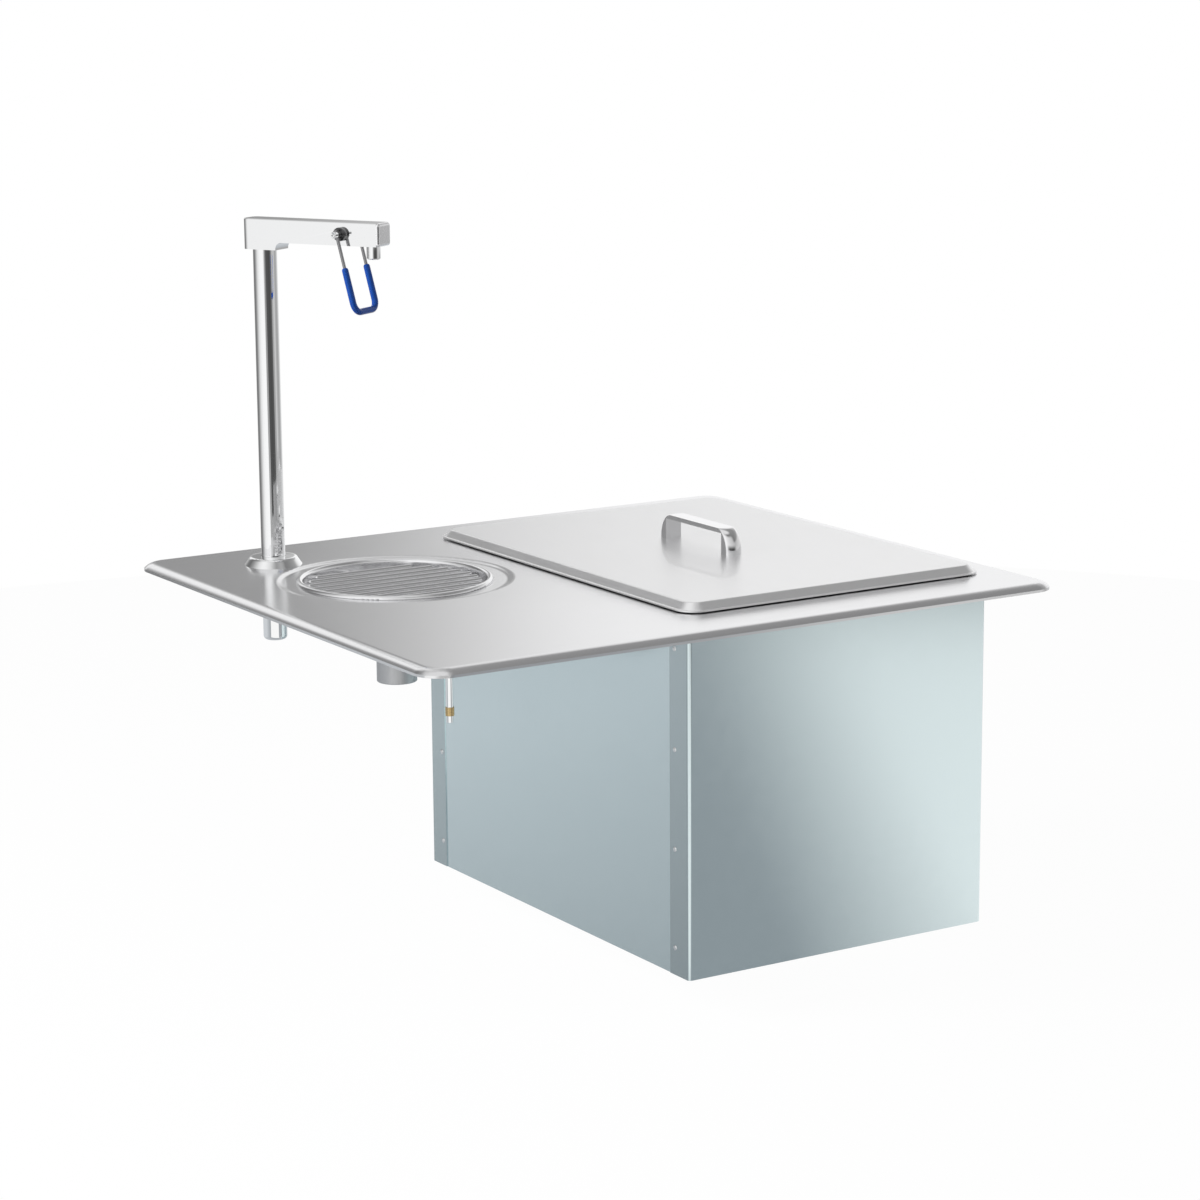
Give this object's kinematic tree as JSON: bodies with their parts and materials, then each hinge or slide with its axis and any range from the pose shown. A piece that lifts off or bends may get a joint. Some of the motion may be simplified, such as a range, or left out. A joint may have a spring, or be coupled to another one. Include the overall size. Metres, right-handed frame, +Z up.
{
  "type": "drop-in ice bin",
  "caption": "Drop-in counter unit: stainless deck with a lift-off lid over an insulated ice bin, and a glass filler with a push lever over a round drip cup.",
  "frame": {"origin": "centre of the plane on which the deck's rim rests on the counter", "axes": "+Z up; X along the long side, +X from the glass filler to the ice bin; the user stands on the -Y side"},
  "size_m": [0.65, 0.56, 0.688],
  "materials": {
    "deck_steel": "satin",
    "lid_steel": "satin",
    "cup_steel": "satin",
    "bin_steel": "satin",
    "chrome": "polished",
    "handle_steel": "polished",
    "wire_steel": "polished",
    "tailpiece_grey": "satin",
    "end_cap_grey": "satin",
    "galvanised": "matte",
    "fastener_steel": "satin",
    "brass": "satin",
    "black_plastic": "matte",
    "blue_vinyl": "gloss",
    "rubber": "matte",
    "foam": "matte"
  },
  "bodies": {
    "unit": {"deck_top": "deck_steel", "drip_cup": "cup_steel", "cup_drain": "tailpiece_grey", "cup_drain_gasket": "rubber", "cup_drain_nut": "fastener_steel", "filler_column": "chrome", "column_shank": "chrome", "column_gasket": "rubber", "column_washer": "fastener_steel", "column_nut": "brass", "escutcheon": "chrome", "filler_arm": "chrome", "arm_end_cap": "end_cap_grey", "end_cap_oring": "rubber", "nozzle": "chrome", "pivot_bushes": "black_plastic", "pivot_orings": "rubber", "valve_seat": "brass", "seat_oring": "rubber", "valve_spring": "wire_steel", "supply_tube": "chrome", "supply_connector": "brass", "supply_ferrule": "brass", "tube_clips": "fastener_steel", "ice_bin": "bin_steel", "insulation": "foam", "bin_drain": "fastener_steel", "bin_strainer": "bin_steel", "bin_drain_gasket": "rubber", "bin_drain_nut": "brass", "casing_front": "galvanised", "casing_back": "galvanised", "casing_left": "galvanised", "casing_right": "galvanised", "casing_bottom": "galvanised", "casing_rivets": "fastener_steel"},
    "lid_body": {"lid": "lid_steel", "lid_handle": "handle_steel", "handle_screws": "fastener_steel", "handle_washers": "fastener_steel"},
    "grate_body": {"drip_grate": "wire_steel"},
    "lever": {"pivot_pin": "chrome", "lever_cam": "brass", "lever_wire": "wire_steel", "lever_grip": "blue_vinyl"},
    "stem": {"valve_stem": "brass", "stem_seal": "rubber"}
  },
  "joints": [
    {"name": "lid_lift", "type": "slide", "parent": "unit", "child": "lid_body", "axis": [0, 0, 1], "range_m": [0, 0.25]},
    {"name": "grate_lift", "type": "slide", "parent": "unit", "child": "grate_body", "axis": [0, 0, 1], "range_m": [0, 0.06]},
    {"name": "lever_push", "type": "hinge", "parent": "unit", "child": "lever", "pos_m": [-0.17898, 0.11817, 0.3175], "axis": [0.8572, 0.515, 0], "range_deg": [0, 14], "stiffness_Nm_per_rad": 0.3, "springref_deg": -11.46},
    {"name": "valve_open", "type": "slide", "parent": "unit", "child": "stem", "axis": [-0.515, 0.8572, 0], "range_m": [0, 0.0011]}
  ],
  "couplings": [
    {"joint": "valve_open", "follows": "lever_push", "m_per_rad": 0.004}
  ]
}
